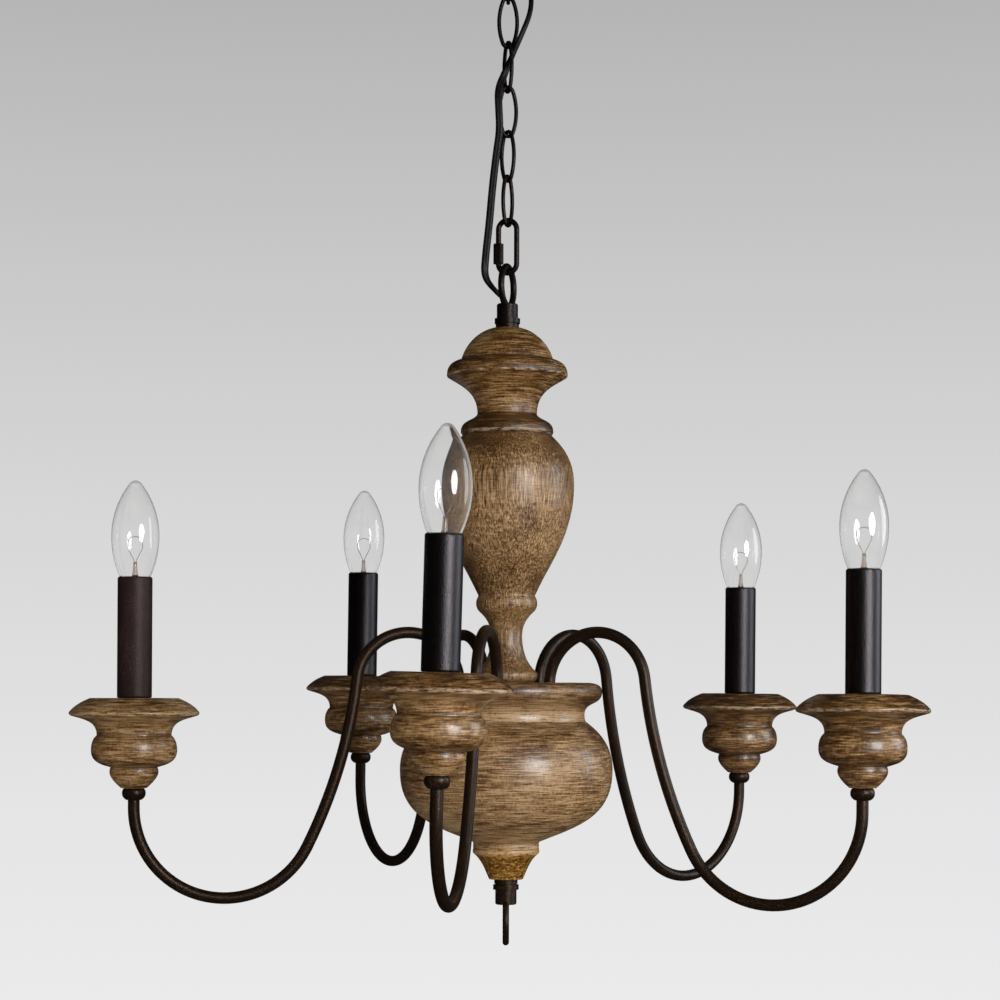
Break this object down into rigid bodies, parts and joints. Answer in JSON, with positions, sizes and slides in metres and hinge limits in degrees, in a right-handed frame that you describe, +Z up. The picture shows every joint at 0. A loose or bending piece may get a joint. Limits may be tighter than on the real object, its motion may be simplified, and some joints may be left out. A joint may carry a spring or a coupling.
{
  "type": "wooden chandelier",
  "caption": "Turned wooden chandelier with bent metal arms, wooden candle cups, dark sleeves and clear candle bulbs, hung by a laced chain from a ceiling canopy.",
  "frame": {"origin": "on the ceiling, in the middle of the crossbar's upper face, on the column's axis", "axes": "+Z up to the ceiling, -Y to the viewer of the picture, +X to the viewer's right"},
  "size_m": [0.6105, 0.6087, 0.8038],
  "materials": {
    "dark_bronze": "satin",
    "plated_steel": "satin",
    "weathered_wood": "matte",
    "sleeve_black": "satin",
    "socket_plastic": "matte",
    "clear_glass": "clear",
    "bulb_brass": "satin",
    "filament": "satin",
    "cord_jacket": "satin"
  },
  "bodies": {
    "canopy": {"ceiling_canopy": "dark_bronze", "crossbar": "plated_steel", "canopy_nipple": "plated_steel", "canopy_collar": "dark_bronze", "canopy_loop": "dark_bronze", "supply_cord": "cord_jacket"},
    "link_1": {"chain_link_1": "dark_bronze"},
    "link_2": {"chain_link_2": "dark_bronze"},
    "link_3": {"chain_link_3": "dark_bronze"},
    "link_4": {"chain_link_4": "dark_bronze"},
    "link_5": {"chain_link_5": "dark_bronze"},
    "link_6": {"chain_link_6": "dark_bronze"},
    "quick": {"quick_link": "dark_bronze"},
    "quick_nut": {"quick_link_nut": "dark_bronze"},
    "fixture": {"top_loop": "dark_bronze", "top_collar": "dark_bronze", "column_cap": "weathered_wood", "urn": "weathered_wood", "bowl_lid": "weathered_wood", "bowl": "weathered_wood", "finial": "weathered_wood", "centre_rod": "plated_steel", "arm_plate": "plated_steel", "lamp_nuts": "plated_steel", "bottom_collar": "dark_bronze", "bottom_loop": "dark_bronze", "inner_wiring": "cord_jacket", "seat_beads": "dark_bronze", "lamp_sockets": "socket_plastic", "arm_1": "dark_bronze", "cup_1": "weathered_wood", "candle_sleeve_1": "sleeve_black", "arm_2": "dark_bronze", "cup_2": "weathered_wood", "candle_sleeve_2": "sleeve_black", "arm_3": "dark_bronze", "cup_3": "weathered_wood", "candle_sleeve_3": "sleeve_black", "arm_4": "dark_bronze", "cup_4": "weathered_wood", "candle_sleeve_4": "sleeve_black", "arm_5": "dark_bronze", "cup_5": "weathered_wood", "candle_sleeve_5": "sleeve_black"},
    "bulb_1": {"bulb_glass_1": "clear_glass", "bulb_base_1": "bulb_brass", "bulb_filament_1": "filament"},
    "bulb_2": {"bulb_glass_2": "clear_glass", "bulb_base_2": "bulb_brass", "bulb_filament_2": "filament"},
    "bulb_3": {"bulb_glass_3": "clear_glass", "bulb_base_3": "bulb_brass", "bulb_filament_3": "filament"},
    "bulb_4": {"bulb_glass_4": "clear_glass", "bulb_base_4": "bulb_brass", "bulb_filament_4": "filament"},
    "bulb_5": {"bulb_glass_5": "clear_glass", "bulb_base_5": "bulb_brass", "bulb_filament_5": "filament"}
  },
  "joints": [
    {"name": "link_1_swing", "type": "hinge", "parent": "canopy", "child": "link_1", "pos_m": [0, 0, -0.067], "axis": [-1, 0, 0], "range_deg": [-12, 12], "deforming": ["supply_cord"]},
    {"name": "link_2_swing", "type": "hinge", "parent": "link_1", "child": "link_2", "pos_m": [0, 0, -0.0996], "axis": [-0.1392, 0.9903, 0], "range_deg": [-12, 12], "deforming": ["supply_cord"]},
    {"name": "link_3_swing", "type": "hinge", "parent": "link_2", "child": "link_3", "pos_m": [0, 0, -0.1331], "axis": [0.9135, 0.4067, 0], "range_deg": [-12, 12], "deforming": ["supply_cord"]},
    {"name": "link_4_swing", "type": "hinge", "parent": "link_3", "child": "link_4", "pos_m": [0, 0, -0.1666], "axis": [-0.4067, 0.9135, 0], "range_deg": [-12, 12], "deforming": ["supply_cord"]},
    {"name": "link_5_swing", "type": "hinge", "parent": "link_4", "child": "link_5", "pos_m": [0, 0, -0.2001], "axis": [0.7431, 0.6691, 0], "range_deg": [-12, 12], "deforming": ["supply_cord"]},
    {"name": "link_6_swing", "type": "hinge", "parent": "link_5", "child": "link_6", "pos_m": [0, 0, -0.2336], "axis": [-0.866, 0.5, 0], "range_deg": [-12, 12], "deforming": ["supply_cord"]},
    {"name": "quick_link_swing", "type": "hinge", "parent": "link_6", "child": "quick", "pos_m": [0, 0, -0.2671], "axis": [0.2419, 0.9703, 0], "range_deg": [-12, 12], "deforming": ["supply_cord"]},
    {"name": "fixture_swing", "type": "hinge", "parent": "quick", "child": "fixture", "pos_m": [0, 0, -0.3027], "axis": [-0.9511, 0.309, 0], "range_deg": [-12, 12], "deforming": ["supply_cord"]},
    {"name": "quick_nut_run", "type": "slide", "parent": "quick", "child": "quick_nut", "axis": [0, 0, 1], "range_m": [0, 0.009]},
    {"name": "bulb_1_out", "type": "slide", "parent": "fixture", "child": "bulb_1", "axis": [0.0267, -0.0044, 0.9996], "range_m": [0, 0.04]},
    {"name": "bulb_2_out", "type": "slide", "parent": "fixture", "child": "bulb_2", "axis": [0.0096, 0.0203, 0.9997], "range_m": [0, 0.04]},
    {"name": "bulb_3_out", "type": "slide", "parent": "fixture", "child": "bulb_3", "axis": [0.0067, -0.0066, 1], "range_m": [0, 0.04]},
    {"name": "bulb_4_out", "type": "slide", "parent": "fixture", "child": "bulb_4", "axis": [0.0107, 0.0054, 0.9999], "range_m": [0, 0.04]},
    {"name": "bulb_5_out", "type": "slide", "parent": "fixture", "child": "bulb_5", "axis": [0, 0, 1], "range_m": [0, 0.04]}
  ]
}
